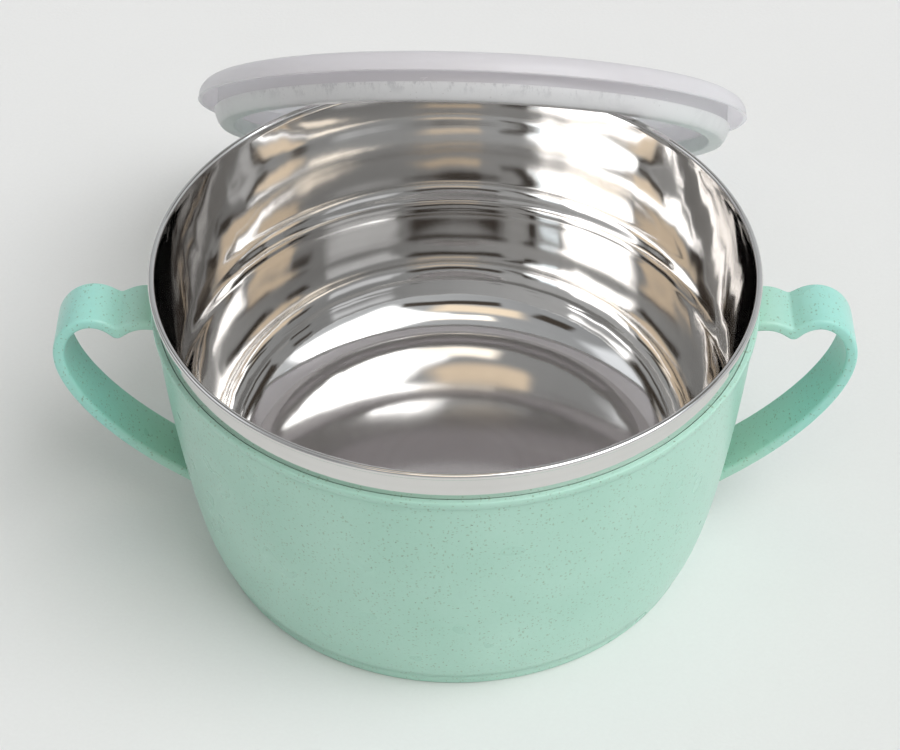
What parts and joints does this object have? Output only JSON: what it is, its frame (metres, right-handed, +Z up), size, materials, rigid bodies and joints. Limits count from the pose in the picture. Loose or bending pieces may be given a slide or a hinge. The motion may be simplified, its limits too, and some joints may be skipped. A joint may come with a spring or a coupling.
{
  "type": "lidded noodle bowl",
  "caption": "Round double-walled noodle bowl with a plastic shell, steel liner and heart-shaped side handles, and a plug lid with a seal ring leaning against its back.",
  "frame": {"origin": "on the bowl's axis at table level, in the plane of the foot ring", "axes": "+Z up along the bowl's axis, +X out through the right handle, +Y from the bowl's axis towards the leaning lid"},
  "size_m": [0.2138, 0.2471, 0.1171],
  "materials": {
    "shell_plastic": "mint green wheat-fibre plastic with fine brown and dark green specks, satin gloss",
    "liner_steel": "polished stainless steel, finely brushed round the wall and in rings on the floor",
    "lid_plastic": "translucent milky polypropylene, soft sheen",
    "seal_silicone": "white translucent silicone, slightly mottled"
  },
  "bodies": {
    "bowl": {"outer_shell": "shell_plastic", "left_handle": "shell_plastic", "right_handle": "shell_plastic", "steel_liner": "liner_steel"},
    "lid": {"lid": "lid_plastic", "lid_seal": "seal_silicone"}
  },
  "joints": [
    {"name": "lid_lift", "type": "slide", "parent": "bowl", "child": "lid", "axis": [0, 0, 1], "range_m": [0, 0.12]}
  ]
}
